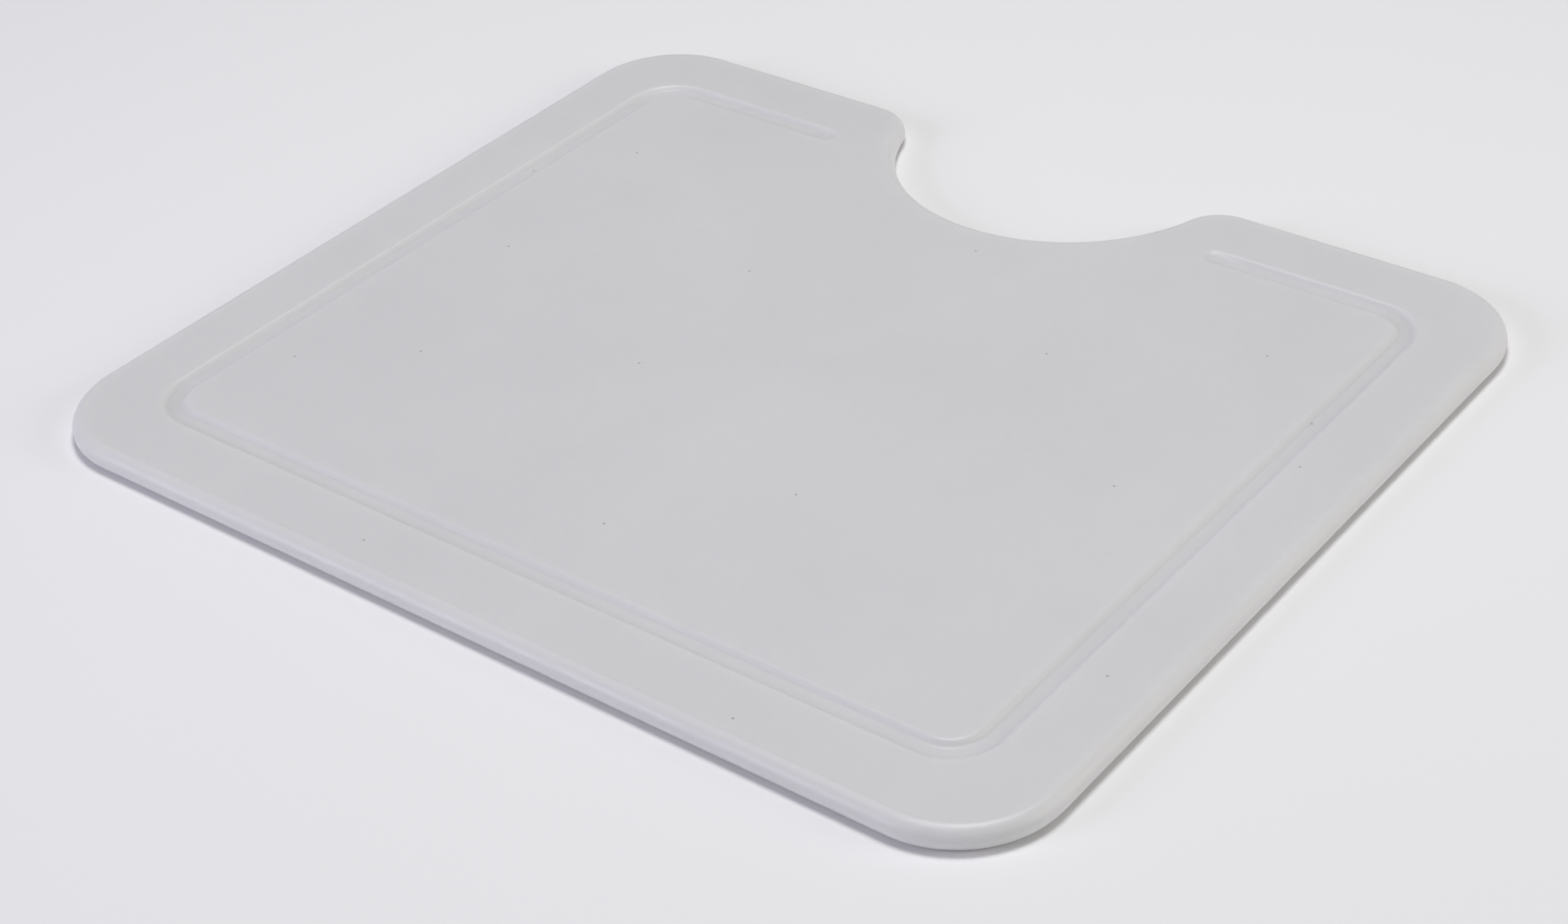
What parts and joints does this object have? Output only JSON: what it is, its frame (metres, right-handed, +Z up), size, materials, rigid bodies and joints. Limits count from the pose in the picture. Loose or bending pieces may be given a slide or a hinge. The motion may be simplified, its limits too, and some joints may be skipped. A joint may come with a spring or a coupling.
{
  "type": "cutting board",
  "caption": "Flat white plastic cutting board with rounded corners, a bull-nosed edge, a juice groove and a round cut-out in its back edge.",
  "frame": {"origin": "middle of the flat underside", "axes": "+Z up out of the cutting face, +X to the right along the long side, +Y to the edge with the cut-out"},
  "size_m": [0.435, 0.372, 0.0095],
  "materials": {
    "polyethylene": "satin, waxy white"
  },
  "bodies": {
    "root": {"board": "polyethylene"}
  },
  "joints": []
}
